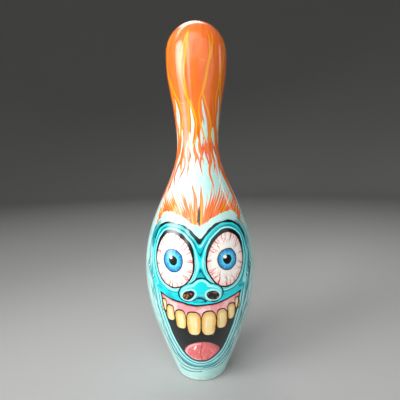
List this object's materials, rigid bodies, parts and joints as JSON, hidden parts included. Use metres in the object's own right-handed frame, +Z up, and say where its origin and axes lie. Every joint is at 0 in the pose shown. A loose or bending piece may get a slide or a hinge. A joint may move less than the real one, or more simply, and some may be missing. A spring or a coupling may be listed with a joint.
{
  "type": "ten-pin bowling pin",
  "caption": "Turned laminated-maple bowling pin with a moulded glossy coating, painted all over, on a nylon base ring.",
  "frame": {"origin": "centre of the foot, on the floor it stands on", "axes": "+Z up the pin's axis from foot to head, -Y towards the painted front, +X to the right seen from the front"},
  "size_m": [0.1212, 0.1212, 0.381],
  "materials": {
    "painted_coating": "hand-painted plastic coating under a hard gloss clear coat",
    "nylon": "moulded nylon, scuffed on the face it stands on",
    "maple": "bare turned hard maple, end grain at the foot"
  },
  "bodies": {
    "root": {"plastic_coating": "painted_coating", "base_ring": "nylon", "core_board_left": "maple", "core_board_centre": "maple", "core_board_right": "maple", "belly_block_left": "maple", "belly_block_right": "maple", "belly_block_front": "maple", "belly_block_back": "maple"}
  },
  "joints": []
}
